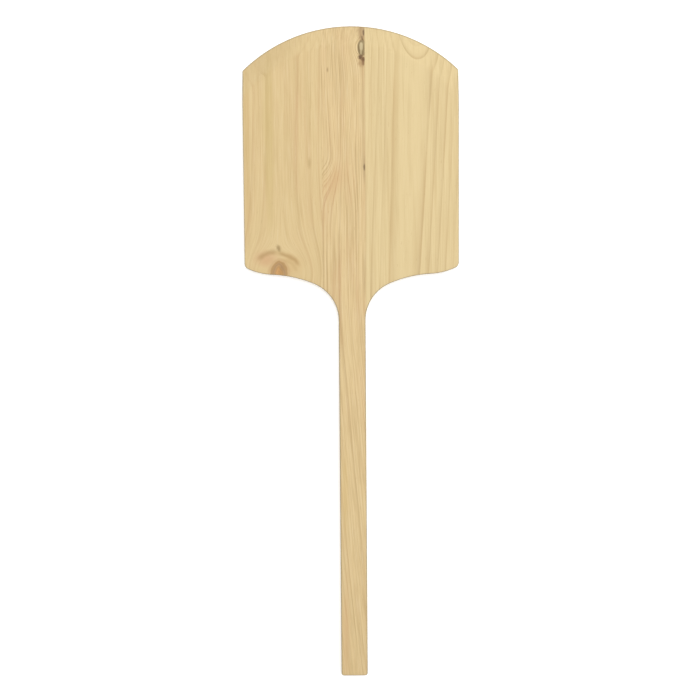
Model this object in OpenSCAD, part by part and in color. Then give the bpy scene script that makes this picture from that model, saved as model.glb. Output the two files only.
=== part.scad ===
// Wooden pizza peel, sawn from three edge-glued softwood boards.
// It lies flat: +Z is up, +Y points to the tip, and the origin is on the underside,
// half way along the length and on the centreline of the blade and handle.

/* [Overall] */
// Length from the tip of the blade to the end of the handle
overall_l = 914.4; // [740:0.2:1120]
// Thickness of the planed boards
board_t = 15; // [10:0.5:20]

/* [Blade] */
// Width across the straight sides
blade_w = 298; // [245:1:360]
// Length from the tip to the level of the shoulders
blade_l = 341; // [280:1:420]
// Radius of the curved front edge
tip_r = 216; // [190:1:420]
// Radius that rounds the two corners beside the front edge
tip_corner_r = 4; // [1:0.5:12]
// Length of the bevel that thins the front edge
bevel_l = 27; // [15:1:60]
// Thickness left at the front edge
tip_t = 4; // [2:0.5:8]

/* [Shoulders] */
// Width of each rounded shoulder, in from the side of the blade
shoulder_w = 39; // [25:1:60]
// Radius of the rounded shoulder
shoulder_r = 93; // [70:1:160]
// Radius of the corner between the shoulder and the side
corner_r = 8.5; // [3:0.5:16]
// Slope of the curve where it turns from shoulder to throat, in degrees
shoulder_slope = 2.6; // [0:0.2:8]
// Radius of the tight curve that leaves the handle
neck_r = 56; // [30:1:70]
// Angle that the tight curve turns before the throat opens out, in degrees
neck_turn = 67; // [50:1:75]

/* [Handle] */
// Width of the handle
handle_w = 37.4; // [28:0.2:50]
// Radius of the two corners at the end of the handle
handle_corner_r = 3.5; // [1:0.5:10]

/* [Boards] */
// Width of the centre board, which runs on to become the handle
centre_board_w = 60; // [48:1:80]
// How far the right-hand joint lies outside the side of the handle
joint_margin = 1; // [0.2:0.1:3]
// Thickness of the glue film in each joint
glue_t = 0.2; // [0.1:0.05:0.4]

/* [Hidden] */

over = 2;        // how far a cutter stands clear of what it cuts
turn_step = 3;   // turn of the outline between two points on a small arc, in degrees
tip_step = 1;    // the same on the long arc of the front edge

tip_y = overall_l / 2;
end_y = -overall_l / 2;
side_x = blade_w / 2;
grip_x = handle_w / 2;

// Glue joints, given by the middle of their film
right_joint_x = grip_x + joint_margin;
left_joint_x = right_joint_x - centre_board_w;

// Front edge: one long arc, and a small one at each corner
tip_centre = [0, tip_y - tip_r];
tip_corner_x = side_x - tip_corner_r;
tip_corner_centre = tip_centre
    + [tip_corner_x, sqrt(pow(tip_r - tip_corner_r, 2) - pow(tip_corner_x, 2))];
tip_corner_a = heading(tip_corner_centre - tip_centre);

// Shoulder and throat: four arcs, each tangent to the next, from the side in to the handle.
// A direction of 180 degrees on an arc points from its centre to the handle's side.
turn_a = 90 + shoulder_slope;              // where the shoulder meets the throat
neck_a = 180 - neck_turn;                  // where the throat meets the neck
shoulder_point = [side_x - shoulder_w, tip_y - blade_l];
throat_r = (shoulder_point[0] - grip_x - neck_r * (1 + cos(neck_a)))
    / (cos(turn_a) - cos(neck_a));
throat_centre = shoulder_point - ray(throat_r, turn_a);
neck_centre = throat_centre + ray(throat_r - neck_r, neck_a);
shoulder_centre = shoulder_point + ray(shoulder_r, turn_a);
corner_x = side_x - corner_r;
corner_centre = [
    corner_x,
    shoulder_centre[1]
        - sqrt(pow(shoulder_r - corner_r, 2) - pow(corner_x - shoulder_centre[0], 2))
];
corner_a = heading(corner_centre - shoulder_centre);

// A vector of length r in the direction a
function ray(r, a) = [r * cos(a), r * sin(a)];

// The direction of a vector, in degrees
function heading(v) = atan2(v[1], v[0]);

// Points on an arc from direction a0 to a1, about one for each step of turn
function arc(centre, r, a0, a1, step = turn_step) =
    let (n = ceil(abs(a1 - a0) / step))
    [for (i = [0:n]) centre + ray(r, a0 + (a1 - a0) * i / n)];

// The right-hand half of the outline, from the tip round to the end of the handle
half_outline = concat(
    arc(tip_centre, tip_r, 90, tip_corner_a, tip_step),
    arc(tip_corner_centre, tip_corner_r, tip_corner_a, 0),
    arc(corner_centre, corner_r, 0, corner_a),
    arc(shoulder_centre, shoulder_r, corner_a, turn_a - 180),
    arc(throat_centre, throat_r, turn_a, neck_a),
    arc(neck_centre, neck_r, neck_a, 180),
    arc([grip_x - handle_corner_r, end_y + handle_corner_r], handle_corner_r, 0, -90)
);

// The left-hand half: the same points mirrored, taken back from the handle to the tip
mirrored_half = [
    for (i = [len(half_outline) - 1:-1:1]) [-half_outline[i][0], half_outline[i][1]]
];

// The shape of the peel seen from above
module outline() {
    polygon(concat(half_outline, mirrored_half));
}

// What the sander takes off the top of the front edge: a cone around the long arc
module bevel_cut() {
    bevel_slope = (board_t - tip_t) / bevel_l;
    translate(tip_centre)
        rotate_extrude(angle = 180, $fn = 360)
            polygon([
                [tip_r - bevel_l, board_t],
                [tip_r + over, tip_t - over * bevel_slope],
                [tip_r + over, board_t + over],
                [tip_r - bevel_l, board_t + over]
            ]);
}

// The part of the shaped peel between two upright planes along its length
module slice(x0, x1) {
    difference() {
        intersection() {
            linear_extrude(board_t) outline();
            translate([x0, end_y - over, -over])
                cube([x1 - x0, overall_l + 2 * over, board_t + 2 * over]);
        }
        bevel_cut();
    }
}

// Wide board on the left of the blade
module left_board() {
    color("burlywood") slice(-side_x - over, left_joint_x - glue_t / 2);
}

// Centre board: the middle of the blade and, in one piece with it, the handle
module handle_board() {
    color("wheat") slice(left_joint_x + glue_t / 2, right_joint_x - glue_t / 2);
}

// Wide board on the right of the blade, which feathers out down the neck
module right_board() {
    color("burlywood") slice(right_joint_x + glue_t / 2, side_x + over);
}

// Cured glue between the left and centre boards
module left_glue_line() {
    color("peru") slice(left_joint_x - glue_t / 2, left_joint_x + glue_t / 2);
}

// Cured glue between the centre and right boards
module right_glue_line() {
    color("peru") slice(right_joint_x - glue_t / 2, right_joint_x + glue_t / 2);
}

left_board();
handle_board();
right_board();
left_glue_line();
right_glue_line();
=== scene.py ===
# %% [markdown]
# # A wooden pizza peel
#
# A pizza peel is a flat wooden shovel. This one is sawn from a panel of three softwood boards that
# were glued edge to edge. The centre board is longer than the others and runs on as the handle.
# The solid model already gives the sizes and the two glue joints. This script makes what the eye
# sees: eased edges, a sanded bevel, and above all the figure of the wood, which is what tells a
# real board from a plain one.

import math

import bmesh
import bpy
import numpy as np
from mathutils import Matrix, Vector
from mathutils.geometry import delaunay_2d_cdt


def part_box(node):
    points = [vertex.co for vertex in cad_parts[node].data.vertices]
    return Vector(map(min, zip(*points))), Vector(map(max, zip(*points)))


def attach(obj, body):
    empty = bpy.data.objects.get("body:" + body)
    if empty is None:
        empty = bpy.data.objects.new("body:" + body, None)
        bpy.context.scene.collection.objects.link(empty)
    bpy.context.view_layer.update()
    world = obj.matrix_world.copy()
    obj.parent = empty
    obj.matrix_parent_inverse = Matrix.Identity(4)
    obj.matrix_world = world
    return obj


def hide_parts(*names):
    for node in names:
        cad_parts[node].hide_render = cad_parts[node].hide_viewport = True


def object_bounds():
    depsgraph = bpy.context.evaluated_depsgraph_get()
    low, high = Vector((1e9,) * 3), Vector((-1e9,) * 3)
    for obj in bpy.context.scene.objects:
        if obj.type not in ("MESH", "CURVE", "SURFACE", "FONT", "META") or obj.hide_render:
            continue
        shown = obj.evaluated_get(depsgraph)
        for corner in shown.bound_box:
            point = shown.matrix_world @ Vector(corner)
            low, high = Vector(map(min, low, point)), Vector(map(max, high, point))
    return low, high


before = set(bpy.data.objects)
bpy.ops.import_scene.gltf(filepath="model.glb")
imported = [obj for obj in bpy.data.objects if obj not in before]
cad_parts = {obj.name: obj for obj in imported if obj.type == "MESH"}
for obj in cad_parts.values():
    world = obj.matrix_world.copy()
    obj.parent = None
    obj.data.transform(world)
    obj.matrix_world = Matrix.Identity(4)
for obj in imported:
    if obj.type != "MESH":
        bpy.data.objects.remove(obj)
cad_low, cad_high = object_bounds()
print("nodes:", sorted(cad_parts))

# %% [markdown]
# ## Sizes
#
# Blender works in metres, and wood is easier to think about in millimetres. So the shapes and
# patterns below are written in millimetres and scaled once, at the end. The large sizes are read
# from the solid model, so the two can't drift apart. The radii can't be read from it, so they are
# repeated here under the same names.

# %% Sizes from the frame
MM = 0.001


def box_mm(node):
    """The lowest and highest corner of a solid, in millimetres."""
    return [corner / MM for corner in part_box(node)]


side_x = cad_high.x / MM
tip_y = cad_high.y / MM
end_y = cad_low.y / MM
thick = cad_high.z / MM
handle_points = [v.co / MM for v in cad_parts["handle_board"].data.vertices]
grip_x = max(p.x for p in handle_points if p.y < 0)
left_glue = box_mm("left_glue_line")
right_glue = box_mm("right_glue_line")
print(f"blade {2 * side_x:.1f} wide, handle {2 * grip_x:.1f} wide")
print(f"{tip_y - end_y:.1f} long and {thick:.1f} thick")

# %% Radii and lengths that shape the outline
BLADE_L = 341
TIP_R = 216
TIP_CORNER_R = 4
BEVEL_L = 27
TIP_T = 4
SHOULDER_W = 39
SHOULDER_R = 93
CORNER_R = 8.5
SHOULDER_SLOPE = 2.6
NECK_R = 56
NECK_TURN = 67
HANDLE_CORNER_R = 3.5

# %% [markdown]
# ## The outline
#
# A bandsaw and a template cut this outline, so it is a chain of arcs, each tangent to the next.
# Each point is kept with the direction that faces out of the wood there. That direction is exact
# on an arc, and it is what the edge needs later, when a router bit rounds it over.

# %% Points along an arc
STEP = 4.0  # the longest step along an edge
TURN = 7.0  # the largest turn between two points, in degrees


def ray(length, degrees):
    """A plan vector of that length in that direction."""
    return Vector((math.cos(math.radians(degrees)), math.sin(math.radians(degrees)))) * length


def heading(vector):
    """The direction of a plan vector, in degrees."""
    return math.degrees(math.atan2(vector.y, vector.x))


def arc(centre, radius, start, end, out=1):
    """Places on an arc, each with the direction out of the wood; out is -1 where the arc is hollow."""
    length = math.radians(abs(end - start)) * radius
    steps = math.ceil(max(length / STEP, abs(end - start) / TURN))
    angles = [start + (end - start) * i / steps for i in range(steps + 1)]
    return [(centre + ray(radius, a), ray(out, a)) for a in angles]


print(f"a point at least every {STEP:.0f} mm, and every {TURN:.0f} degrees on a small arc")

# %% The right-hand half, from the tip round to the end of the handle
tip_centre = Vector((0, tip_y - TIP_R))
tip_corner_x = side_x - TIP_CORNER_R
tip_corner_centre = tip_centre + Vector(
    (tip_corner_x, math.sqrt((TIP_R - TIP_CORNER_R) ** 2 - tip_corner_x**2))
)
tip_corner_a = heading(tip_corner_centre - tip_centre)

turn_a = 90 + SHOULDER_SLOPE
neck_a = 180 - NECK_TURN
shoulder_point = Vector((side_x - SHOULDER_W, tip_y - BLADE_L))
neck_reach = shoulder_point.x - grip_x - NECK_R * (1 + ray(1, neck_a).x)
throat_r = neck_reach / (ray(1, turn_a).x - ray(1, neck_a).x)
throat_centre = shoulder_point - ray(throat_r, turn_a)
neck_centre = throat_centre + ray(throat_r - NECK_R, neck_a)
shoulder_centre = shoulder_point + ray(SHOULDER_R, turn_a)
corner_x = side_x - CORNER_R
corner_drop = math.sqrt((SHOULDER_R - CORNER_R) ** 2 - (corner_x - shoulder_centre.x) ** 2)
corner_centre = Vector((corner_x, shoulder_centre.y - corner_drop))
corner_a = heading(corner_centre - shoulder_centre)
handle_corner_centre = Vector((grip_x - HANDLE_CORNER_R, end_y + HANDLE_CORNER_R))

half = (
    arc(tip_centre, TIP_R, 90, tip_corner_a)
    + arc(tip_corner_centre, TIP_CORNER_R, tip_corner_a, 0)
    + arc(corner_centre, CORNER_R, 0, corner_a)
    + arc(shoulder_centre, SHOULDER_R, corner_a, turn_a - 180)
    + arc(throat_centre, throat_r, turn_a, neck_a, out=-1)
    + arc(neck_centre, NECK_R, neck_a, 180, out=-1)
    + arc(handle_corner_centre, HANDLE_CORNER_R, 0, -90)
)
print(f"throat radius {throat_r:.1f}, {len(half)} points in the right-hand half")

# %% The whole outline, with the straight stretches filled in
SAME_PLACE = 0.001  # points closer than this are one, as where two arcs meet
STEP_SLACK = 0.1  # a gap this share of a step too long isn't divided

mirrored = [(Vector((-place.x, place.y)), Vector((-out.x, out.y))) for place, out in reversed(half[1:])]
whole = half + mirrored
outline = []
for (place, out), (following, _) in zip(whole, whole[1:] + whole[:1]):
    gap = (following - place).length
    if gap < SAME_PLACE:
        continue
    steps = math.ceil(gap / STEP - STEP_SLACK)
    outline += [(place.lerp(following, i / steps), out) for i in range(steps)]
print(f"{len(outline)} points round the outline")

# %% [markdown]
# ## The faces
#
# Three things shape the surface. The front edge was thinned on a belt sander, so that the peel
# slides under a pizza, and the sander leaves no crisp line where the bevel starts. A small router
# bit or sanding pad eased every edge, and more so on the handle, which is held. And the two knots
# stand out a little, because a knot is harder than the wood round it and sands away more slowly.
# All three are height functions, so they need no sculpting.

# %% Height of the top face
BEVEL_BLEND = 1.3  # how much height the soft start of the bevel takes
LEFT_KNOT = Vector((-100, 118))
EDGE_KNOT = Vector((19, 427))
CASING = Vector((16.2, 426.5))  # the middle of the rim of bark, most of which the joint left standing
CASING_HALF = (6.4, 11.4)
KNOT_STRETCH = 1.35  # how much longer than wide the sunk ring round the left knot is
SUNK_DEPTH = 0.12
SUNK_START = (12, 20)  # where the wood falls away from the knot
SUNK_END = (45, 25)  # where it is back at the height of the face, and where it starts to rise
GROOVE_DEPTH = 0.4
GROOVE_MIDDLE = 0.92  # where the groove runs, as a share of the rim's half size
GROOVE_EDGE = (0.2, 0.05)  # how far from its middle the groove starts, and where it is at full depth


def smoothstep(low, high, x):
    """0 below low, 1 above high, and an S-shaped rise between."""
    t = np.clip((x - low) / (high - low), 0, 1)
    return t * t * (3 - 2 * t)


def front_depth(x, y):
    """How far a place lies behind the long arc of the front edge."""
    return TIP_R - np.hypot(x - tip_centre.x, np.maximum(y - tip_centre.y, 0))


def top_height(x, y):
    """Height of the top face, with the bevel but without the knots."""
    bevel = TIP_T + (thick - TIP_T) / BEVEL_L * front_depth(x, y)
    overlap = np.maximum(BEVEL_BLEND - np.abs(bevel - thick), 0) / BEVEL_BLEND
    return np.minimum(bevel, thick) - overlap**2 * BEVEL_BLEND / 4


def knot_relief(x, y):
    """How much lower than the height above the wood is at the knots."""
    tight = np.hypot(x - LEFT_KNOT.x, (y - LEFT_KNOT.y) / KNOT_STRETCH)
    sunk = SUNK_DEPTH * smoothstep(*SUNK_START, tight) * smoothstep(*SUNK_END, tight)
    rim = np.hypot((x - CASING.x) / CASING_HALF[0], (y - CASING.y) / CASING_HALF[1])
    return sunk + GROOVE_DEPTH * smoothstep(*GROOVE_EDGE, np.abs(rim - GROOVE_MIDDLE))


print(f"height at the front edge {top_height(0, tip_y):.2f}, behind the bevel {top_height(0, 0):.2f}")

# %% Radius of the eased edge
BLADE_EASE = 2.0
HANDLE_EASE = 3.0
EASE_STEPS = 6
EASE_SHARE = 0.32  # the most of the thickness that a rounded edge takes


def ease_radius(place):
    """Radius of the rounded edge at a place on the outline."""
    towards_handle = smoothstep(tip_y - BLADE_L, neck_centre.y, place.y)
    wanted = BLADE_EASE + (HANDLE_EASE - BLADE_EASE) * towards_handle
    return min(wanted, EASE_SHARE * top_height(place.x, place.y))


print(f"edges eased by {ease_radius(Vector((0, tip_y))):.2f} at the tip and {HANDLE_EASE} on the handle")

# %% [markdown]
# ## One shaped panel
#
# The real panel is glued up first and shaped afterwards, and the mesh follows the same order.
# Rings of points run round the outline and step over the rounded edge, from the top face, down the
# side and on to the underside. Each face is then filled with triangles. A Delaunay fill takes any
# scattered points, so they can be close together on the bevel and at the knots, and far apart
# where the wood is flat.

# %% Rings over the rounded edges
quarter = [math.radians(90 * i / EASE_STEPS) for i in range(EASE_STEPS + 1)]


def edge_ring(angle, on_top):
    """Points all round a rounded edge, at one angle on its quarter circle, from 0 on the side."""
    ring = []
    for place, out in outline:
        radius = ease_radius(place)
        inner = place - out * radius * (1 - math.cos(angle))
        below_face = radius * (1 - math.sin(angle))
        height = top_height(inner.x, inner.y) - below_face if on_top else below_face
        ring.append((inner.x, inner.y, height))
    return ring


rings = [edge_ring(angle, True) for angle in reversed(quarter)]
rings += [edge_ring(angle, False) for angle in quarter]
points = [point for ring in rings for point in ring]
count = len(outline)
faces = [
    (k * count + i, k * count + (i + 1) % count, (k + 1) * count + (i + 1) % count, (k + 1) * count + i)
    for k in range(len(rings) - 1)
    for i in range(count)
]
print(f"{len(rings)} rings of {count} points")

# %% Points inside a face
FACE_GRID = 5.0
KNOT_GRID = 1.0
KNOT_FIELD = 28  # radius of the fine lattice round a knot
BEVEL_ROWS = (4, 8, 12, 16, 20, 23, 25, 26.5, 28, 29.5, 31.5, 34)
BEVEL_SWEEP = 50  # the rows run this many degrees to each side of the middle
BEVEL_MARGIN = 0.8  # each kind of place keeps this far from the places found before it
KNOT_MARGIN = 0.5
FACE_MARGIN = 2.6
ROW_RATIO = 0.866  # height of an even triangle as a share of its side


def lattice(x0, x1, y0, y1, step):
    """Places in rows that are offset by half a step, so that the triangles between them are even."""
    rows = np.arange(y0, y1, step * ROW_RATIO)
    across = np.arange(x0, x1, step)
    return np.array([(x + step / 2 * (k % 2), y) for k, y in enumerate(rows) for x in across])


def inside(places, ring):
    """Which places lie inside the ring, by counting the edges to the right of each."""
    x, y = places[:, 0, None], places[:, 1, None]
    ax, ay = ring[None, :, 0], ring[None, :, 1]
    bx, by = np.roll(ax, -1, 1), np.roll(ay, -1, 1)
    with np.errstate(divide="ignore", invalid="ignore"):
        crosses = ((ay > y) != (by > y)) & (x < (bx - ax) * (y - ay) / (by - ay) + ax)
    return crosses.sum(1) % 2 == 1


def clearance(places, others):
    """Distance from each place to the nearest of the others."""
    return np.sqrt(((places[:, None, :] - others[None, :, :]) ** 2).sum(2)).min(1)


def face_places(ring, bevelled):
    """Places inside one face: rows along the bevel, a fine lattice at each knot, and a coarse one."""
    ring = np.array(ring)[:, :2]
    sets = []
    if bevelled:
        for depth in BEVEL_ROWS:
            radius = TIP_R - depth
            angles = np.arange(90 - BEVEL_SWEEP, 90 + BEVEL_SWEEP, math.degrees(STEP / radius))
            row = np.array([tip_centre + ray(radius, a) for a in angles])
            sets.append((row, BEVEL_MARGIN))
    for x, y in (LEFT_KNOT, EDGE_KNOT):
        fine = lattice(x - KNOT_FIELD, x + KNOT_FIELD, y - KNOT_FIELD, y + KNOT_FIELD, KNOT_GRID)
        near = clearance(fine, np.array([(x, y)])) < KNOT_FIELD
        sets.append((fine[near], KNOT_MARGIN))
    sets.append((lattice(-side_x, side_x, end_y, tip_y, FACE_GRID), FACE_MARGIN))
    kept = ring
    found = []
    for places, margin in sets:
        places = places[inside(places, ring)]
        if bevelled and margin == FACE_MARGIN:
            places = places[front_depth(places[:, 0], places[:, 1]) > BEVEL_ROWS[-1] + 1]
        places = places[clearance(places, kept) > margin]
        found.append(places)
        kept = np.concatenate([kept, places])
    return np.concatenate(found)


print(f"{len(BEVEL_ROWS)} rows along the bevel, {KNOT_GRID} mm apart at the knots, {FACE_GRID} elsewhere")

# %% Fill the top and the underside
FILL_INSIDE = 1  # the fill's mode that keeps only the triangles inside the loop
FILL_NEAR = 1e-6
UNDER_SHARE = 0.5  # how deep the relief at the knots is underneath, as a share of the top's


def fill(ring_number, height, bevelled):
    """Triangles inside one ring; adds the inner points to the panel."""
    start = ring_number * count
    ring = rings[ring_number]
    inner = face_places(ring, bevelled)
    flat = [Vector(point[:2]) for point in ring] + [Vector(place) for place in inner]
    loop = [(i, (i + 1) % count) for i in range(count)]
    found, _, triangles, origin, _, _ = delaunay_2d_cdt(flat, loop, [], FILL_INSIDE, FILL_NEAR)
    place_of = [o[0] for o in origin]
    number = {k: start + k if k < count else len(points) + k - count for k in range(len(flat))}
    points.extend((x, y, float(height(x, y))) for x, y in inner)
    faces.extend(tuple(number[place_of[v]] for v in t) for t in triangles)
    return len(triangles)


top_triangles = fill(0, lambda x, y: top_height(x, y) - knot_relief(x, y), bevelled=True)
under_triangles = fill(len(rings) - 1, lambda x, y: knot_relief(x, y) * UNDER_SHARE, bevelled=False)
print(f"{top_triangles} triangles on top and {under_triangles} underneath")

# %% The panel itself
panel = bmesh.new()
corners = [panel.verts.new((x * MM, y * MM, z * MM)) for x, y, z in points]
for face in faces:
    panel.faces.new([corners[i] for i in face])
bmesh.ops.recalc_face_normals(panel, faces=panel.faces)
open_edges = [e for e in panel.edges if len(e.link_faces) != 2]
print(f"panel: {len(panel.verts)} points, {len(panel.faces)} faces, {len(open_edges)} open edges")

# %% [markdown]
# ## Three boards and two films of glue
#
# A plane parallel to the sides cuts the panel wherever two boards meet. Every piece is cut from a
# copy of the same panel, so the surfaces of neighbouring boards run into each other, as they do on
# a panel that was sanded after it was glued. The glue film itself shrinks as it cures, so it lies
# a hair below the wood and leaves the fine line that shows on a real edge joint.

# %% Cut one piece out of the panel
SHARP = 40  # an edge that turns by more degrees than this stays crisp
CUT_NEAR = 1e-8


def cut_piece(name, node, left, right):
    """The part of the panel between two planes, as a closed mesh that stands for its solid."""
    mesh = panel.copy()
    for x, direction in ((left, -1), (right, 1)):
        if x is None:
            continue
        everything = mesh.verts[:] + mesh.edges[:] + mesh.faces[:]
        bmesh.ops.bisect_plane(
            mesh,
            geom=everything,
            dist=CUT_NEAR,
            plane_co=(x * MM, 0, 0),
            plane_no=(direction, 0, 0),
            clear_outer=True,
        )
        rim = [e for e in mesh.edges if e.is_boundary]
        bmesh.ops.triangle_fill(mesh, edges=rim, use_beauty=True)
    bmesh.ops.recalc_face_normals(mesh, faces=mesh.faces)
    open_edges = [e for e in mesh.edges if len(e.link_faces) != 2]
    data = bpy.data.meshes.new(name)
    mesh.to_mesh(data)
    mesh.free()
    data.shade_smooth()
    data.set_sharp_from_angle(angle=math.radians(SHARP))
    piece = bpy.data.objects.new(name, data)
    bpy.context.scene.collection.objects.link(piece)
    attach(piece, "root")
    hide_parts(node)
    print(f"{name}: {len(data.polygons)} faces, {len(open_edges)} open edges")
    return piece


left_piece = cut_piece("left_board_wood", "left_board", None, left_glue[0].x)
handle_piece = cut_piece(
    "handle_board_wood", "handle_board", left_glue[1].x, right_glue[0].x
)
right_piece = cut_piece("right_board_wood", "right_board", right_glue[1].x, None)
left_film = cut_piece("left_glue_film", "left_glue_line", left_glue[0].x, left_glue[1].x)
right_film = cut_piece("right_glue_film", "right_glue_line", right_glue[0].x, right_glue[1].x)

# %% Let the cured glue shrink
GLUE_SHRINKAGE = 0.012

for film in (left_film, right_film):
    low = min(v.co.z for v in film.data.vertices)
    high = max(v.co.z for v in film.data.vertices)
    for v in film.data.vertices:
        v.co.z += GLUE_SHRINKAGE * ((low + high) / 2 - v.co.z)
panel.free()
print(f"films lowered by {GLUE_SHRINKAGE * thick / 2:.2f} mm")

# %% [markdown]
# ## Wood as a solid
#
# Real figure isn't painted on a board: it is what a saw shows of the growth rings inside. So the
# materials here are solid ones. For every point of the wood they work out how far it lay from the
# tree's pith, and so in which year it grew. The top, the underside, the sides and the end grain
# then agree with each other by themselves.
#
# One small function adds each node, so that the recipes below stay short enough to read.

# %% A node with its settings and links
def add(tree, kind, *inputs, stops=(), between="LINEAR", **settings):
    """Adds a node. An input is a number, colour, vector or another node's output, or None for as it was."""
    made = tree.nodes.new("ShaderNode" + kind)
    for name, value in settings.items():
        setattr(made, name, value)
    sockets = [s for s in made.inputs if s.enabled]
    for socket, value in zip(sockets, inputs):
        if isinstance(value, bpy.types.NodeSocket):
            tree.links.new(value, socket)
        elif value is not None:
            socket.default_value = value
    if stops:
        made.color_ramp.interpolation = between
        elements = made.color_ramp.elements
        while len(elements) < len(stops):
            elements.new(0.5)
        for element, (position, colour) in zip(elements, stops):
            element.position = position
            element.color = colour
    return next(s for s in made.outputs if s.enabled)


def new_material(name):
    """A new material, its node tree and its main shader."""
    material = bpy.data.materials.new(name)
    material.use_nodes = True
    return material, material.node_tree, material.node_tree.nodes["Principled BSDF"]


def hex_colour(code):
    """A linear colour from an sRGB hex value."""
    channels = [int(code[i : i + 2], 16) / 255 for i in (1, 3, 5)]
    return (*(c / 12.92 if c <= 0.04045 else ((c + 0.055) / 1.055) ** 2.4 for c in channels), 1.0)


def grey(value):
    """A grey for a ramp that is read as a number."""
    return (value, value, value, 1.0)


print("half grey in sRGB is", round(hex_colour("#808080")[0], 3), "in linear light")

# %% [markdown]
# ## Where the grain runs
#
# Grain is never straight. It wanders a little along the board, and it parts round a knot as water
# parts round a stone. The same formula that describes water works well for wood: the sideways push
# at distance d from a knot is the knot's reach squared over d squared. The pattern is looked up at
# the place the fibre would have had without the knot.

# %% The place of a point, in millimetres, with the grain's wander
WANDER = 3.0  # how far the grain strays, from one side to the other
WANDER_ACROSS = 45.0
WANDER_ALONG = 190.0


def grain_place(tree, seed):
    """The point's own place in millimetres, and the same place pushed sideways by slow noise."""
    metres = add(tree, "TexCoord").node.outputs["Object"]
    place = add(tree, "VectorMath", metres, (1 / MM,) * 3, operation="MULTIPLY")
    slow = (1 / WANDER_ACROSS, 1 / WANDER_ALONG, 1 / WANDER_ACROSS)
    slowed = add(tree, "VectorMath", place, slow, (seed, seed, seed), operation="MULTIPLY_ADD")
    noise = add(tree, "TexNoise", slowed, 1.0, 2.0, 0.5).node.outputs["Color"]
    centred = add(tree, "VectorMath", noise, (0.5, 0.5, 0.5), operation="SUBTRACT")
    return place, add(tree, "VectorMath", centred, (WANDER, 0, WANDER), place, operation="MULTIPLY_ADD")


def flow_round(tree, place, knot, reach):
    """The place that the fibre here would have had without the knot."""
    offset = add(tree, "VectorMath", place, (knot.x, knot.y, 0), operation="SUBTRACT")
    across = add(tree, "VectorMath", offset, (1, 1, 0), operation="MULTIPLY")
    distance = add(tree, "VectorMath", across, operation="LENGTH")
    ratio = add(tree, "Math", reach, distance, operation="DIVIDE")
    push = add(tree, "Math", ratio, 2.0, operation="POWER", use_clamp=True)
    pushed = add(tree, "VectorMath", across, push, operation="MULTIPLY")
    return add(tree, "VectorMath", pushed, (-1, 0, 0), place, operation="MULTIPLY_ADD")


print(f"the grain strays by {WANDER} mm over about {WANDER_ALONG:.0f} mm")

# %% [markdown]
# ## Growth rings
#
# Each year a softwood grows a wide pale layer in spring, the earlywood, and a narrow dark one in
# late summer, the latewood. The dark layer comes on slowly and ends sharply at the winter. Ring
# widths differ from year to year, and so does the hardness of the latewood. So each board has a
# calendar: how far from the pith each winter lies, and how dark the year before it ended. A ramp
# turns the distance into years, and the part of the year count after the point says which season
# it was.

# %% Season and hardness of the wood at a point
SEASONS = ((0.0, 0.0), (0.45, 0.06), (0.75, 0.38), (0.91, 1.0), (0.975, 0.9), (1.0, 0.0))
PATCH_W = 9.0  # a ring line is stronger here and fainter there, in patches this wide and long
PATCH_L = 120.0
PATCH_EDGE = (0.35, 0.6)  # the noise at which a patch is at its faintest and at its strongest
PATCH_LEAST = 0.45
RIBBON = 6.0  # how many times deeper than wide a bundle of fibres is
SPRING = 0.15  # the share of a year after which its own hardness holds


def streaks(tree, flow, width, length, detail):
    """Noise drawn out along the grain, around 0.5; the bundles are ribbons, deeper than they are wide."""
    ribbon = (1 / width, 1 / length, 1 / (width * RIBBON))
    stretched = add(tree, "VectorMath", flow, ribbon, operation="MULTIPLY")
    return add(tree, "TexNoise", stretched, 1.0, detail, 0.55)


def latewood(tree, flow, pith, along, calendar):
    """How dark the wood grew, from 0 in spring to 1 in the hardest late summer."""
    offset = add(tree, "VectorMath", flow, pith, operation="SUBTRACT")
    turned = add(tree, "VectorMath", offset, Vector(along).normalized(), operation="CROSS_PRODUCT")
    radius = add(tree, "VectorMath", turned, operation="LENGTH")
    first, last, years = calendar[0][0], calendar[-1][0], len(calendar) - 1
    share = add(tree, "MapRange", radius, first, last, 0.0, 1.0)
    spots = [(distance - first) / (last - first) for distance, _ in calendar]
    dates = add(tree, "ValToRGB", share, stops=[(spot, grey(i / years)) for i, spot in enumerate(spots)])
    age = add(tree, "Math", dates, float(years), operation="MULTIPLY")
    season = add(tree, "Math", age, operation="FRACT")
    profile = add(tree, "ValToRGB", season, stops=[(at, grey(dark)) for at, dark in SEASONS])
    springs = [spot + (after - spot) * SPRING for spot, after in zip(spots, spots[1:])]
    hard = [(spring, grey(hardness)) for spring, (_, hardness) in zip(springs, calendar[1:])]
    hardness = add(tree, "ValToRGB", share, stops=hard, between="CONSTANT")
    patches = streaks(tree, flow, PATCH_W, PATCH_L, 1.0)
    patch = add(tree, "MapRange", patches, *PATCH_EDGE, PATCH_LEAST, 1.0)
    lasting = add(tree, "Math", profile, hardness, operation="MULTIPLY")
    return add(tree, "Math", lasting, patch, operation="MULTIPLY")


print("the latewood takes", round(SEASONS[3][0] - SEASONS[1][0], 2), "of a year to build up")

# %% [markdown]
# ## Fibres and the sanded surface
#
# Softwood fibres are about 0.03 mm thick and a few millimetres long, far too fine to show. What
# the eye sees is bundles of them, as faint streaks along the grain, so the streaks here are drawn
# 0.9 mm wide. Wider bands vary the tone between yellow and pink, as the resin in the wood does. A
# few resin canals show as thin dashes.

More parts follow.
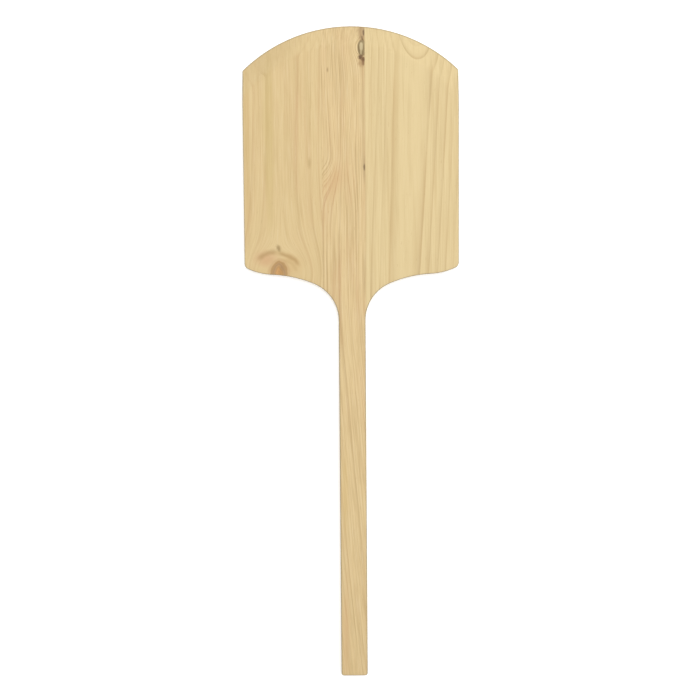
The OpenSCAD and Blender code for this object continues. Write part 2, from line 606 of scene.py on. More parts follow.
# %% Colour of straight-grained wood
FIBRE_W = 0.9
FIBRE_L = 38.0
LINE_W = 1.4
LINE_L = 210.0
BAND_W = 5.0
BAND_L = 160.0
CLOUD_W = 16.0
CLOUD_L = 90.0
CANAL_W = 0.9
CANAL_L = 11.0
WARM_EDGE = (0.42, 0.6)  # each noise acts from the first value, and fully from the second
BAND_EDGE = (0.5, 0.75)
LINE_EDGE = (0.47, 0.64)
DARKER_EDGE = (0.5, 0.8)
LIGHTER_EDGE = (0.5, 0.22)
CANAL_EDGE = (0.72, 0.8)
BAND_SHARE = 0.4
CANAL_SHARE = 0.45
FIBRE_DARK = "#b4986a"
FIBRE_LIGHT = "#dcc8a0"
CANAL_BROWN = "#a07c4e"


def wood_colour(tree, fibres, flow, late, pale, dark, warm, lined, fibrous):
    """Pale earlywood, latewood that is olive here and warmer there, and streaks of fibre on both."""
    cloud = streaks(tree, flow, CLOUD_W, CLOUD_L, 2.0)
    warmth = add(tree, "MapRange", cloud, *WARM_EDGE, 0.0, 1.0)
    summer = add(tree, "Mix", warmth, hex_colour(dark), hex_colour(warm), data_type="RGBA")
    ringed = add(tree, "Mix", late, hex_colour(pale), summer, data_type="RGBA")
    band = add(tree, "MapRange", streaks(tree, flow, BAND_W, BAND_L, 2.0), *BAND_EDGE, 0.0, BAND_SHARE)
    banded = add(tree, "Mix", band, ringed, summer, data_type="RGBA")
    line = add(tree, "MapRange", streaks(tree, flow, LINE_W, LINE_L, 2.0), *LINE_EDGE, 0.0, lined)
    drawn = add(tree, "Mix", line, banded, summer, data_type="RGBA")
    fibre = streaks(tree, fibres, FIBRE_W, FIBRE_L, 3.0)
    darker = add(tree, "MapRange", fibre, *DARKER_EDGE, 0.0, fibrous)
    fibred = add(tree, "Mix", darker, drawn, hex_colour(FIBRE_DARK), data_type="RGBA")
    lighter = add(tree, "MapRange", fibre, *LIGHTER_EDGE, 0.0, fibrous)
    lit = add(tree, "Mix", lighter, fibred, hex_colour(FIBRE_LIGHT), data_type="RGBA")
    canals = streaks(tree, fibres, CANAL_W, CANAL_L, 1.0)
    canal = add(tree, "MapRange", canals, *CANAL_EDGE, 0.0, CANAL_SHARE)
    return add(tree, "Mix", canal, lit, hex_colour(CANAL_BROWN), data_type="RGBA"), fibre


print(f"streaks {FIBRE_W} mm wide and {FIBRE_L} mm long")

# %% [markdown]
# ## End grain, painted edge shade and the finish
#
# The peel is bare wood: sanded, with no oil or varnish. End grain drinks in light, so the wood is
# darker where it is cut across. The eased edges are darker too, but that is painted shade, for
# rounded edges that turn away from the light overhead. The bevel is a little paler, partly because
# it was sanded last and partly as a painted highlight, for a face tilted towards the light. All
# three follow from the way the surface faces. The thin front edge slides under the dough, and a
# dark line of painted shade along its rounded edge follows from the distance to its arc.

# %% Tints on the ends, painted shade on the edges and a painted highlight on the bevel
END_GRAIN = "#9a7748"
# Painted shade: the colour laid on the rounded edges and along the thin front edge, where they turn from
# the light
EDGE_SHADE_COLOUR = "#96855f"
# The bevel's paler tint: partly freshly sanded wood, partly a painted highlight on a face tilted towards
# the light
BEVEL_SANDED_AND_LIT = "#e0cda2"
LIT_BEVEL_FACING = (0.999, 0.925)  # how squarely up a surface faces where a tint starts and where it is full
EDGE_SHADE_FACING = (0.91, 0.65)
SIDE_SHADE_FACING = (0.45, 0.1)
END_FACING = (0.55, 1.0)  # the same for how squarely it faces along the grain
FRONT_SHADE_REACH = (2.2, 0.3)  # how far behind the front edge its dark line starts and is full
LIT_BEVEL_SHARE = 0.12
EDGE_SHADE_SHARE = 0.84
SIDE_SHADE_SHARE = 0.55
END_SHARE = 0.45
FRONT_SHADE_SHARE = 0.75


def behind_front(tree, place):
    """How far a point lies behind the long arc of the front edge, in millimetres."""
    offset = add(tree, "VectorMath", place, (*tip_centre, 0), operation="SUBTRACT")
    ahead = add(tree, "VectorMath", offset, (-side_x, 0, 0), operation="MAXIMUM")
    flat = add(tree, "VectorMath", ahead, (1, 1, 0), operation="MULTIPLY")
    distance = add(tree, "VectorMath", flat, operation="LENGTH")
    return add(tree, "Math", float(TIP_R), distance, operation="SUBTRACT")


def end_grain_edge_shade_and_bevel_light(tree, colour, place):
    """End grain is darker than the faces. Painted shade darkens the rounded edges and the front edge, and a
    painted highlight on top of real sanding makes the bevel paler.
    """
    normal = add(tree, "TexCoord").node.outputs["Normal"]
    facing = add(tree, "SeparateXYZ", add(tree, "VectorMath", normal, operation="ABSOLUTE")).node.outputs
    # Painted highlight with some real sanding: faces tilted a little from flat, as the bevel is, turn paler
    sanded_and_lit = add(tree, "MapRange", facing["Z"], *LIT_BEVEL_FACING, 0.0, LIT_BEVEL_SHARE)
    bevel_lit_colour = add(tree, "Mix", sanded_and_lit, colour, hex_colour(BEVEL_SANDED_AND_LIT), data_type="RGBA")
    # Painted shade: rounded edges darken the more they turn from facing up, less so on the upright sides,
    # and a thin line along the front edge darkens too
    eased = add(tree, "MapRange", facing["Z"], *EDGE_SHADE_FACING, 0.0, EDGE_SHADE_SHARE)
    side = add(tree, "MapRange", facing["Z"], *SIDE_SHADE_FACING, 1.0, SIDE_SHADE_SHARE)
    edge = add(tree, "Math", eased, side, operation="MULTIPLY")
    front = add(tree, "MapRange", behind_front(tree, place), *FRONT_SHADE_REACH, 0.0, FRONT_SHADE_SHARE)
    painted_shade = add(tree, "Math", edge, front, operation="MAXIMUM")
    edge_shaded_colour = add(tree, "Mix", painted_shade, bevel_lit_colour, hex_colour(EDGE_SHADE_COLOUR), data_type="RGBA")
    end = add(tree, "MapRange", facing["Y"], *END_FACING, 0.0, END_SHARE)
    return add(tree, "Mix", end, edge_shaded_colour, hex_colour(END_GRAIN), data_type="RGBA")


print("end grain", END_GRAIN, "and edges", EDGE_SHADE_COLOUR)

# %% A dull, sanded surface
EARLY_ROUGHNESS = 0.64
LATE_ROUGHNESS = 0.52
WOOD_IOR = 1.5
LATE_RELIEF = 0.6  # how far the hard latewood stands out, measured in the relief of the fibres
RELIEF = 0.15  # height that the relief stands for, in millimetres
RELIEF_SHARE = 0.3


def sanded_finish(tree, shader, place, colour, late, fibre):
    """Bare sanded wood: dull, smoother on the hard latewood, with fibres that just catch the light."""
    tree.links.new(end_grain_edge_shade_and_bevel_light(tree, colour, place), shader.inputs["Base Color"])
    roughness = add(tree, "MapRange", late, 0.0, 1.0, EARLY_ROUGHNESS, LATE_ROUGHNESS)
    tree.links.new(roughness, shader.inputs["Roughness"])
    shader.inputs["IOR"].default_value = WOOD_IOR
    relief = add(tree, "Math", late, LATE_RELIEF, fibre, operation="MULTIPLY_ADD")
    bump = add(tree, "Bump", RELIEF_SHARE, RELIEF * MM, None, relief)
    tree.links.new(bump, shader.inputs["Normal"])


print(f"roughness {EARLY_ROUGHNESS} on earlywood and {LATE_ROUGHNESS} on latewood")

# %% [markdown]
# ## Marks
#
# Knots, flecks of resin and stains are all small marks with an uneven outline. One function
# measures the distance to a mark on ovals that noise has bent a little. Another lays a colour over
# the wood inside the oval, and a third draws a line along part of it. Each board then has its
# marks in a short list, in the order they are laid on.

# %% Uneven ovals, stains and arcs
SMOOTH = {"interpolation_type": "SMOOTHSTEP"}
ARC_RIPPLE = 0.05
ARC_FULL = 0.45  # an arc fades from this share of its length to its ends


def oval_distance(tree, place, centre, half_size, tilt=0.0, ripple=0.15):
    """Distance from a mark's centre, where 1 is its outline."""
    offset = add(tree, "VectorMath", place, (centre[0], centre[1], 0), operation="SUBTRACT")
    turned = add(tree, "VectorRotate", offset, (0, 0, 0), math.radians(tilt), rotation_type="Z_AXIS")
    shape = (1 / half_size[0], 1 / half_size[1], 0)
    scaled = add(tree, "VectorMath", turned, shape, operation="MULTIPLY")
    noise = add(tree, "TexNoise", scaled, 1.7, 2.0, 0.5).node.outputs["Color"]
    centred = add(tree, "VectorMath", noise, (0.5, 0.5, 0.5), operation="SUBTRACT")
    bent = add(tree, "VectorMath", centred, (4 * ripple,) * 3, scaled, operation="MULTIPLY_ADD")
    flat = add(tree, "VectorMath", bent, (1, 1, 0), operation="MULTIPLY")
    return add(tree, "VectorMath", flat, operation="LENGTH")


def stain(tree, colour, place, centre, half_size, code, strength, tilt=0.0, ripple=0.15, soft=0.5):
    """Lays a colour over the wood inside an uneven oval."""
    distance = oval_distance(tree, place, centre, half_size, tilt, ripple)
    share = add(tree, "MapRange", distance, 1 + soft, 1 - soft, 0.0, strength, **SMOOTH)
    return add(tree, "Mix", share, colour, hex_colour(code), data_type="RGBA")


def stains(tree, colour, place, marks, origin=(0, 0)):
    """Lays several stains over the wood; their centres are measured from the origin."""
    for (x, y), *look in marks:
        colour = stain(tree, colour, place, (origin[0] + x, origin[1] + y), *look)
    return colour


def arc_line(tree, colour, place, centre, half_size, angles, width, code, strength):
    """Draws a soft line along an uneven oval, between two angles in degrees."""
    distance = oval_distance(tree, place, centre, half_size, ripple=ARC_RIPPLE)
    beyond = add(tree, "Math", distance, 1.0, operation="SUBTRACT")
    away = add(tree, "Math", beyond, operation="ABSOLUTE")
    line = add(tree, "MapRange", away, width / half_size[0], 0.0, 0.0, 1.0, **SMOOTH)
    offset = add(tree, "VectorMath", place, (centre[0], centre[1], 0), operation="SUBTRACT")
    parts = add(tree, "SeparateXYZ", offset).node.outputs
    angle = add(tree, "Math", parts["Y"], parts["X"], operation="ARCTAN2")
    middle, reach = math.radians(sum(angles) / 2), math.radians(angles[1] - angles[0]) / 2
    turned = add(tree, "Math", angle, middle, operation="SUBTRACT")
    off_middle = add(tree, "Math", turned, operation="ABSOLUTE")
    shown = add(tree, "MapRange", off_middle, reach, reach * ARC_FULL, 0.0, strength, **SMOOTH)
    share = add(tree, "Math", line, shown, operation="MULTIPLY")
    return add(tree, "Mix", share, colour, hex_colour(code), data_type="RGBA")


print("marks: stains and arc lines")

# %% [markdown]
# ## The left board
#
# This board was sawn flat, from outside the pith: the rings meet the face at a low angle and show
# as broad, soft bands, with a wide plain stretch where one ring lies almost in the face. Straight
# under that stretch is the pith, and a branch grew from it. It was alive when the tree was felled,
# so its knot is tight: it has grown into the wood round it. The shoulder was sawn through its
# middle. Two dark arcs, where the trunk's rings lapped up against the branch, meet over the knot
# like a pointed roof.

# %% Its rings and colours
LEFT_PITH = (-96, 300, thick - 60)
LEFT_ALONG = (0.019, 1, 0)
LEFT_CALENDAR = (
    (34, 0.3),
    (41.5, 0.3),
    (49, 0.25),
    (56.8, 0.12),
    (64.3, 0.8),
    (72.1, 0.75),
    (79.2, 0.7),
    (86, 0.5),
    (93, 0.5),
)
LEFT_COLOURS = ("#d3ba87", "#bc9f69", "#c29f6d")  # earlywood, olive latewood and warm latewood
LEFT_FIBROUS = 0.4
LEFT_LINED = (40.0, 120.0, 0.06, 0.3)  # two distances from the knot, and how lined the wood is there
LEFT_SEED = 3.0  # moves this board to its own part of the noise
PALE_FRONT = (BEVEL_L - 8, BEVEL_L, 0.4, 1.0)  # the rings fade where the bevel has cut the front away
KNOT_REACH = 31
print("left board:", len(LEFT_CALENDAR) - 1, "years")

# %% Its knot
KNOT_STOPS = (
    (0.38, hex_colour("#ca995c")),
    (0.54, hex_colour("#c49459")),
    (0.66, hex_colour("#b18d5c")),
    (0.76, hex_colour("#ad8a60")),
    (0.86, hex_colour("#b08b55")),
    (0.96, hex_colour("#c3a06f")),
)
ARCH_HALF = (22.5, 24)  # the knot is a pointed arch: what two ovals share when they stand side by side
ARCH_APART = 8.5
ARCH_AT = (-1, -2)
ARCH_RIPPLE = 0.08
ARCH_EDGE = (1.18, 0.86)  # where the knot's own wood starts and is full, on the scale of its ovals
KNOT_YEARS = 6.5
KNOT_WINTER = "#86602f"
KNOT_WINTER_SHARE = 0.28
KNOT_WINTER_FROM = 0.3  # the share of a year after which its wood darkens

# Tints round the knot, and the arcs over it, with their centres measured from the middle of the knot.
# A tint is: centre, half size, colour, strength, tilt, ripple, softness.
KNOT_TINTS = (
    ((-18, 20), (13, 9), "#c3936a", 0.55, 0, 0.15, 0.8),  # pink resin
    ((14, 12), (15, 13), "#c6a46c", 0.45, 0, 0.15, 0.6),  # tan
)
# An arc is: centre, half size, the two angles, width, colour, strength.
KNOT_ARCS = (
    ((-7.5, 2.5), (27.5, 27.5), (74, 151), 6.0, "#a58450", 0.6),
    ((-5.6, -8.6), (37, 37), (24, 94), 5.0, "#a5814a", 0.64),
    ((-4, -9), (29.5, 30), (16, 80), 4.0, "#ab8a54", 0.25),
)


def tight_knot(tree, colour, place):
    """The branch's own wood, the tint round it, and the dark arcs that lap over it."""
    x, y = LEFT_KNOT
    colour = stains(tree, colour, place, KNOT_TINTS, LEFT_KNOT)
    for (right, up), *look in KNOT_ARCS:
        colour = arc_line(tree, colour, place, (x + right, y + up), *look)
    ovals = [
        oval_distance(tree, place, (x + ARCH_AT[0] + side, y + ARCH_AT[1]), ARCH_HALF, ripple=ARCH_RIPPLE)
        for side in (-ARCH_APART, ARCH_APART)
    ]
    core = add(tree, "Math", *ovals, operation="MAXIMUM")
    core_wood = add(tree, "ValToRGB", core, stops=KNOT_STOPS)
    years = add(tree, "Math", core, KNOT_YEARS, operation="MULTIPLY")
    season = add(tree, "Math", years, operation="FRACT")
    winter = add(tree, "MapRange", season, KNOT_WINTER_FROM, 1.0, 0.0, KNOT_WINTER_SHARE)
    ringed = add(tree, "Mix", winter, core_wood, hex_colour(KNOT_WINTER), data_type="RGBA")
    core_share = add(tree, "MapRange", core, *ARCH_EDGE, 0.0, 1.0, **SMOOTH)
    return add(tree, "Mix", core_share, colour, ringed, data_type="RGBA")


print(f"the knot is {2 * ARCH_HALF[0] - 2 * ARCH_APART:.0f} mm wide")

# %% Left board
# Bands of resin under the knot, and marks over it, in the same order of values as the tints.
LEFT_BANDS = (
    ((-113, 305), (6.5, 105), "#c4ad6c", 0.35, 0, 0.25, 0.5),  # olive, up the board
    ((-143, 290), (3.2, 110), "#c1a062", 0.3, 0, 0.25, 0.5),  # tan, beside the edge
    ((-57.5, 270), (2.0, 6.5), "#a3884f", 0.4, 0, 0.15, 0.8),  # a fleck
)
LEFT_MARKS = (
    ((-101.3, 153), (2.5, 4.3), "#876b38", 0.68, -20, 0.3, 0.75),  # the dark point where the arcs meet
    ((-98, 122), (3.4, 8), "#94703c", 0.36, 8, 0.3, 0.7),  # the darker right side of the knot
    ((-108, 419), (48, 15), "#a98c5c", 0.22, -42, 0.2, 0.8),  # the bevel, darker on this board
)


def left_board_pine():
    """Flat-sawn pine with one tight knot."""
    material, tree, shader = new_material("flat_sawn_pine_with_knot")
    place, wandered = grain_place(tree, LEFT_SEED)
    flow = flow_round(tree, wandered, LEFT_KNOT, KNOT_REACH)
    clear = add(tree, "MapRange", behind_front(tree, place), *PALE_FRONT)
    grown = latewood(tree, flow, LEFT_PITH, LEFT_ALONG, LEFT_CALENDAR)
    late = add(tree, "Math", grown, clear, operation="MULTIPLY")
    from_knot = add(tree, "VectorMath", place, (*LEFT_KNOT, thick), operation="DISTANCE")
    lined = add(tree, "MapRange", from_knot, *LEFT_LINED)
    colour, fibre = wood_colour(tree, flow, flow, late, *LEFT_COLOURS, lined, LEFT_FIBROUS)
    colour = stains(tree, colour, place, LEFT_BANDS)
    colour = tight_knot(tree, colour, place)
    colour = stains(tree, colour, place, LEFT_MARKS)
    sanded_finish(tree, shader, place, colour, late, fibre)
    return material


left_piece.data.materials.append(left_board_pine())
print("on", left_piece.name, "marks:", len(LEFT_BANDS) + len(KNOT_TINTS) + len(LEFT_MARKS))

# %% [markdown]
# ## The centre board and the handle
#
# This board was sawn along the radius of the tree, so its rings cross the face steeply and show as
# fine lines. Half way up the blade they pass a branch that the saw just missed. There the lines
# are crowded together from both sides, and below the crowd they fan out again to the left. At the
# tip a dead branch left a cased knot, with a rim of bark, and the joint cut it in half. Further
# down the tree leaned, and the lines slant across the handle.
#
# Each of these is a sideways push of the place where the rings are looked up, so they can be
# stacked.

# %% Grain that slants, fans out and crowds
BEND_FROM_Y = 60
BEND_SLOPE = 0.09
BEND_SOFT = 60.0  # over what length the bend comes on
FAN_FROM_Y = 275
FAN_PUSH = 21  # how far the fan moves the rings at its left side
FAN_WIDTH = 38
FAN_LENGTHS = (200, 88)  # how far down the fan takes to open, in the middle and at its left side
FAN_POWER = 3.0  # how much of the opening comes early
FAN_SOFT = 0.12
CROWD_Y = 278
CROWD_HALF_L = 90
CROWD = ((-44, 0), (-22, -4.5), (-16.5, 0), (-4, 6), (15, 0))  # the push in mm at each place across


def push_aside(tree, place, push):
    """Moves the place where the rings are looked up, to the right by that many millimetres."""
    return add(tree, "VectorMath", add(tree, "CombineXYZ", push, 0.0, 0.0), place, operation="ADD")


def bend_handle(tree, place):
    """Leans the grain across the handle, more the further down it is."""
    y = add(tree, "SeparateXYZ", place).node.outputs["Y"]
    below = add(tree, "Math", float(BEND_FROM_Y), y, operation="SUBTRACT")
    soft = add(tree, "Math", below, 0.0, BEND_SOFT, operation="SMOOTH_MAX")
    return push_aside(tree, place, add(tree, "Math", soft, -BEND_SLOPE, operation="MULTIPLY"))


def fan_out(tree, place):
    """Below the waist the rings spread to the left, and sooner the further left they are."""
    parts = add(tree, "SeparateXYZ", place).node.outputs
    leftness = add(tree, "MapRange", parts["X"], 0.0, -FAN_WIDTH, 0.0, 1.0)
    length = add(tree, "MapRange", parts["X"], 0.0, -FAN_WIDTH, *FAN_LENGTHS)
    below = add(tree, "Math", float(FAN_FROM_Y), parts["Y"], operation="SUBTRACT")
    gone = add(tree, "Math", below, length, operation="DIVIDE")
    started = add(tree, "Math", gone, 0.0, FAN_SOFT, operation="SMOOTH_MAX")
    to_go = add(tree, "Math", 1.0, started, operation="SUBTRACT", use_clamp=True)
    closed = add(tree, "Math", to_go, FAN_POWER, operation="POWER")
    opened = add(tree, "Math", 1.0, closed, operation="SUBTRACT")
    push = add(tree, "Math", leftness, float(FAN_PUSH), operation="MULTIPLY")
    return push_aside(tree, place, add(tree, "Math", push, opened, operation="MULTIPLY"))


def crowd_together(tree, place):
    """Draws the rings together from both sides, round one height."""
    parts = add(tree, "SeparateXYZ", place).node.outputs
    (low, _), (high, _) = CROWD[0], CROWD[-1]
    least, most = min(push for _, push in CROWD), max(push for _, push in CROWD)
    across = add(tree, "MapRange", parts["X"], low, high, 0.0, 1.0)
    stops = [((x - low) / (high - low), grey((push - least) / (most - least))) for x, push in CROWD]
    push = add(tree, "MapRange", add(tree, "ValToRGB", across, stops=stops), 0.0, 1.0, least, most)
    above = add(tree, "Math", parts["Y"], CROWD_Y, operation="SUBTRACT")
    away = add(tree, "Math", above, operation="ABSOLUTE")
    near = add(tree, "MapRange", away, CROWD_HALF_L, 0.0, 0.0, 1.0, **SMOOTH)
    return push_aside(tree, place, add(tree, "Math", push, near, operation="MULTIPLY"))


print(f"the grain leans by {math.degrees(math.atan(BEND_SLOPE)):.1f} degrees across the handle")

# %% Its rings
CENTRE_PITH = Vector((-170, 120, thick - 20))
CENTRE_CALENDAR_X = (
    (-78, 0.3),
    (-66, 0.4),
    (-54, 0.5),
    (-41, 0.4),
    (-33, 0.3),
    (-27, 0.25),
    (-22, 0.4),
    (-17, 1.0),
    (-15.2, 0.4),
    (-13, 0.5),
    (-11.6, 0.4),
    (-7.4, 0.9),
    (-4.6, 0.3),
    (-2.2, 0.6),
    (0.5, 0.3),
    (3, 0.7),
    (6.5, 0.4),
    (9.5, 0.4),
    (12.5, 0.3),
    (15, 0.3),
    (18, 0.3),
    (21.5, 0.4),
    (26, 0.4),
)

print("centre board:", len(CENTRE_CALENDAR_X) - 1, "years")

# %% Centre board
CENTRE_COLOURS = ("#d7bd8a", "#b59866", "#bd9868")
CENTRE_FIBROUS = 0.6
CENTRE_LINED = (0.0, 110.0, 0.42, 0.75)  # two heights, and how lined the wood is there
CENTRE_SEED = 17.0
EDGE_KNOT_REACH = 11

# Each mark is: centre, half size, colour, strength, tilt, ripple, softness.
CENTRE_STAINS = (
    ((-22, 246), (11, 20), "#c0925f", 0.29, 35, 0.15, 0.9),  # warm wood where the rings fan out
    ((17.3, 332), (3.2, 66), "#a28b60", 0.23, 0, 0.9, 0.8),  # a dull strip beside the joint
    ((18.6, 263), (2.2, 17), "#97805a", 0.4, 0, 0.3, 0.7),  # a fleck at the joint, and its dark middle
    ((18.4, 264), (1.4, 4.2), "#745d3a", 0.8, 0, 0.2, 0.5),
    ((17.6, 118), (1.9, 26), "#9d8355", 0.3, 0, 0.4, 0.8),  # the joint strip in the neck
    ((-31.5, 397), (1.0, 2.8), "#8a6c42", 0.6, 0, 0.15, 0.7),  # a speck
    ((-11.5, -390), (4.5, 60), "#c69766", 0.3, 0, 0.3, 0.8),  # warm streaks down the handle
    ((-11.5, -190), (3.5, 50), "#cbaa62", 0.3, 0, 0.3, 0.8),
)
# The dead branch: stained wood above, pale wood in a grey rim of bark, grey on its right partly from
# painted shade, and broken bark below.
CASED_KNOT = (
    ((16.8, 448), (5.8, 12), "#8d6740", 0.62, 0, 0.35, 0.5),
    ((18.8, 448), (1.8, 4.0), "#5c3f20", 0.9, 0, 0.35, 0.5),
    ((16.4, 440), (1.3, 3.6), "#67481f", 0.75, -15, 0.35, 0.5),
    (CASING, CASING_HALF, "#79643c", 0.95, 0, 0.07, 0.12),
    # the grey right part of the rim: bark, darkened further with painted shade
    ((19.6, 427), (3.3, 9.6), "#907b51", 0.75, 0, 0.07, 0.2),
    ((15.0, 428.3), (2.3, 6.2), "#bcab82", 1.0, 0, 0.12, 0.2),
    ((14.7, 421), (1.2, 3.8), "#b3a075", 0.9, 0, 0.12, 0.3),
    ((16.6, 409), (5.6, 7.5), "#9c774a", 0.65, 20, 0.45, 0.5),
    ((13.8, 414), (2.8, 2.8), "#5f3e17", 0.92, 0, 0.5, 0.5),
    ((18.2, 411), (3.2, 2.9), "#68461e", 0.92, 30, 0.5, 0.5),
    ((17.8, 406.5), (1.8, 3.6), "#7a5830", 0.75, 0, 0.5, 0.5),
)


def handle_board_pine():
    """Quarter-sawn pine with close rings, for the centre of the blade and the handle."""
    material, tree, shader = new_material("quarter_sawn_pine_with_half_knot")
    place, wandered = grain_place(tree, CENTRE_SEED)
    fibres = bend_handle(tree, flow_round(tree, wandered, EDGE_KNOT, EDGE_KNOT_REACH))
    flow = crowd_together(tree, fan_out(tree, fibres))
    depth = thick - CENTRE_PITH.z
    calendar = [(math.hypot(x - CENTRE_PITH.x, depth), hardness) for x, hardness in CENTRE_CALENDAR_X]
    late = latewood(tree, flow, CENTRE_PITH, (0, 1, 0), calendar)
    y = add(tree, "SeparateXYZ", place).node.outputs["Y"]
    lined = add(tree, "MapRange", y, *CENTRE_LINED)
    colour, fibre = wood_colour(tree, fibres, flow, late, *CENTRE_COLOURS, lined, CENTRE_FIBROUS)
    colour = stains(tree, colour, place, CENTRE_STAINS + CASED_KNOT)
    sanded_finish(tree, shader, place, colour, late, fibre)
    return material


handle_piece.data.materials.append(handle_board_pine())
print("on", handle_piece.name, "marks:", len(CENTRE_STAINS + CASED_KNOT))

# %% [markdown]
# ## The right board
#
# This one grew fast: its rings are 8 to 12 mm wide. It was sawn flat too, and the pith runs a
# little askew to it, so the bands lean. Where the bevel cuts down into the board it goes through
# the next rings inwards, which show as small arches at the front edge. No extra work is needed for
# that, since the rings are solid.

# %% Right board
RIGHT_PITH = (82, 300, thick - 29)
RIGHT_ALONG = (0.046, 1, 0.013)
RIGHT_CALENDAR = (
    (6, 0.3),
    (13, 0.3),
    (20, 0.3),
    (27, 0.9),
    (38.5, 1.0),
    (46.5, 0.8),
    (56.5, 0.9),
    (65.5, 0.6),
    (75, 0.5),
)
RIGHT_COLOURS = ("#d7c18f", "#bca26f", "#bfa36f")
RIGHT_FIBROUS = 0.22
RIGHT_LINED = (12.0, 28.0, 0.04, 0.34)  # two distances to the side of the pith, and how lined it is there
RIGHT_SEED = 41.0
RIGHT_STAINS = (((59, 290), (4.6, 170), "#c5a973", 0.3, 2.2, 0.2, 0.5),)  # a tan band up the board


def right_board_pine():
    """Flat-sawn, fast-grown pine."""
    material, tree, shader = new_material("flat_sawn_pine")
    place, flow = grain_place(tree, RIGHT_SEED)
    late = latewood(tree, flow, RIGHT_PITH, RIGHT_ALONG, RIGHT_CALENDAR)
    x = add(tree, "SeparateXYZ", flow).node.outputs["X"]
    beside = add(tree, "Math", x, RIGHT_PITH[0], operation="SUBTRACT")
    from_pith = add(tree, "Math", beside, operation="ABSOLUTE")
    lined = add(tree, "MapRange", from_pith, *RIGHT_LINED)
    colour, fibre = wood_colour(tree, flow, flow, late, *RIGHT_COLOURS, lined, RIGHT_FIBROUS)
    colour = stains(tree, colour, place, RIGHT_STAINS)
    sanded_finish(tree, shader, place, colour, late, fibre)
    return material


right_piece.data.materials.append(right_board_pine())
print("right board:", len(RIGHT_CALENDAR) - 1, "years")

# %% [markdown]
# ## Glue
#
# Wood glue dries to a hard, slightly shiny film, tan to honey coloured. It is 0.2 mm thick here,
# so it shows only as a fine line. Small specks of sanding dust stay in it, which noise half a
# millimetre wide stands for.

# %% Dried wood glue
GLUE_DARK = "#b09462"
GLUE_LIGHT = "#c8af84"
DUST_W = 0.5
DUST_EDGE = (0.3, 0.7)
GLUE_ROUGHNESS = (0.4, 0.6)  # where there is least dust, and most
GLUE_IOR = 1.47


def dried_glue():
    """Aliphatic wood glue, cured and sanded."""
    material, tree, shader = new_material("dried_wood_glue")
    metres = add(tree, "TexCoord").node.outputs["Object"]
    dust = add(tree, "TexNoise", metres, 1 / (DUST_W * MM), 2.0)
    colour = add(tree, "Mix", dust, hex_colour(GLUE_DARK), hex_colour(GLUE_LIGHT), data_type="RGBA")
    tree.links.new(colour, shader.inputs["Base Color"])
    roughness = add(tree, "MapRange", dust, *DUST_EDGE, *GLUE_ROUGHNESS)
    tree.links.new(roughness, shader.inputs["Roughness"])
    shader.inputs["IOR"].default_value = GLUE_IOR
    return material


glue = dried_glue()
for film in (left_film, right_film):
    film.data.materials.append(glue)
print("glue on", left_film.name, "and", right_film.name)

# %% [markdown]
# ## Floor, light and camera
#
# The peel lies on a sheet of white acrylic that glows faintly, as one lit from beneath does, so
# that hardly any shadow shows round it. The sheet curls up gently far away. One softbox, high up
# beyond the tip and a little to the right, gives the light its direction. White surroundings fill
# the shadows, so that the figure reads evenly over the whole blade, and at the horizon they are as
# bright as the far floor, so that no edge shows behind the peel in a low view. The camera looks
# down from two metres, tilted a few degrees from the tip side.

# %% Floor
FLOOR_HALF = 6.0
FLOOR_CELLS = 24
FLOOR_DROP = 0.0002  # how far the floor lies below the wood, so that the two faces don't flicker
CURL = 0.02
CURL_FROM = 2.5  # metres from the middle where the sheet starts to curl up
FLOOR_WHITE = "#fbfbfb"
FLOOR_ROUGHNESS = 0.9
FLOOR_GLOW = 0.27


def white_floor():
    """A large sheet of white acrylic, slightly curled up and faintly lit from beneath."""
    mesh = bmesh.new()
    bmesh.ops.create_grid(mesh, x_segments=FLOOR_CELLS, y_segments=FLOOR_CELLS, size=FLOOR_HALF)
    for v in mesh.verts:
        v.co.z = -FLOOR_DROP + CURL * max(0.0, v.co.length - CURL_FROM) ** 2
    data = bpy.data.meshes.new("white_floor")
    mesh.to_mesh(data)
    mesh.free()
    data.shade_smooth()
    acrylic, _, shader = new_material("matt_white_acrylic")
    shader.inputs["Base Color"].default_value = hex_colour(FLOOR_WHITE)
    shader.inputs["Roughness"].default_value = FLOOR_ROUGHNESS
    shader.inputs["Emission Color"].default_value = hex_colour("#ffffff")
    shader.inputs["Emission Strength"].default_value = FLOOR_GLOW
    data.materials.append(acrylic)
    floor = bpy.data.objects.new("white_floor", data)
    bpy.context.scene.collection.objects.link(floor)


white_floor()
print(f"floor {2 * FLOOR_HALF:.0f} m across")

# %% Light
SOFTBOX_PLACE = (0.4, 0.65, 2.5)
SOFTBOX_SIZE = 2.8
SOFTBOX_POWER = 62


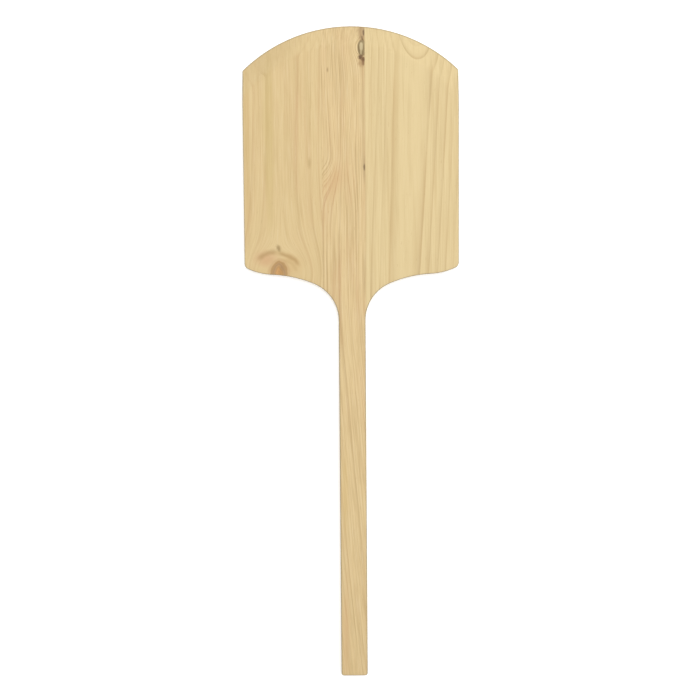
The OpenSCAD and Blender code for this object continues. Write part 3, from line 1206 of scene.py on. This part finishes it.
def softbox(name, place, aim, size, power):
    """A square area light that faces a point."""
    light = bpy.data.lights.new(name, "AREA")
    light.size = size
    light.energy = power
    lamp = bpy.data.objects.new(name, light)
    lamp.location = place
    lamp.rotation_euler = (Vector(aim) - Vector(place)).to_track_quat("-Z", "Y").to_euler()
    bpy.context.scene.collection.objects.link(lamp)


# The sine of the height above the floor, and how bright the surroundings are there
SKY = ((0.0, 0.76), (0.1, 0.76), (0.22, 0.32), (0.9, 0.58))


def white_surroundings():
    """A white room, as bright low down as the far floor, dimmer above that, and brighter overhead."""
    world = bpy.data.worlds.new("white_surroundings")
    world.use_nodes = True
    tree = world.node_tree
    direction = add(tree, "TexCoord").node.outputs["Generated"]
    height = add(tree, "SeparateXYZ", direction).node.outputs["Z"]
    strength = add(tree, "ValToRGB", height, stops=[(at, grey(bright)) for at, bright in SKY])
    tree.links.new(strength, tree.nodes["Background"].inputs["Strength"])
    tree.nodes["Background"].inputs["Color"].default_value = (1, 1, 1, 1)
    bpy.context.scene.world = world


softbox("overhead_softbox", SOFTBOX_PLACE, (0, 0, 0), SOFTBOX_SIZE, SOFTBOX_POWER)
white_surroundings()
bpy.context.scene.view_settings.view_transform = "Standard"
print("one softbox and white surroundings")

# %% Camera
CAMERA_FAR = 2000
CAMERA_TILT = 5.37
CAMERA_ROLL = -0.415
CAMERA_AIM = Vector((-3.3, 10.5, thick))
CAMERA_SENSOR = 36
CAMERA_LENS = 73.58

camera = bpy.data.objects.new("camera", bpy.data.cameras.new("camera"))
camera.data.sensor_width = CAMERA_SENSOR
camera.data.lens = CAMERA_LENS
tilt = Matrix.Rotation(math.radians(-CAMERA_TILT), 4, "X")
roll = Matrix.Rotation(math.radians(CAMERA_ROLL), 4, "Z")
turn = tilt @ roll
eye = CAMERA_AIM - turn.to_3x3() @ Vector((0, 0, -CAMERA_FAR))
camera.matrix_world = Matrix.Translation(eye * MM) @ turn
bpy.context.scene.collection.objects.link(camera)
bpy.context.scene.camera = camera
print("camera at", [round(c, 3) for c in eye * MM])
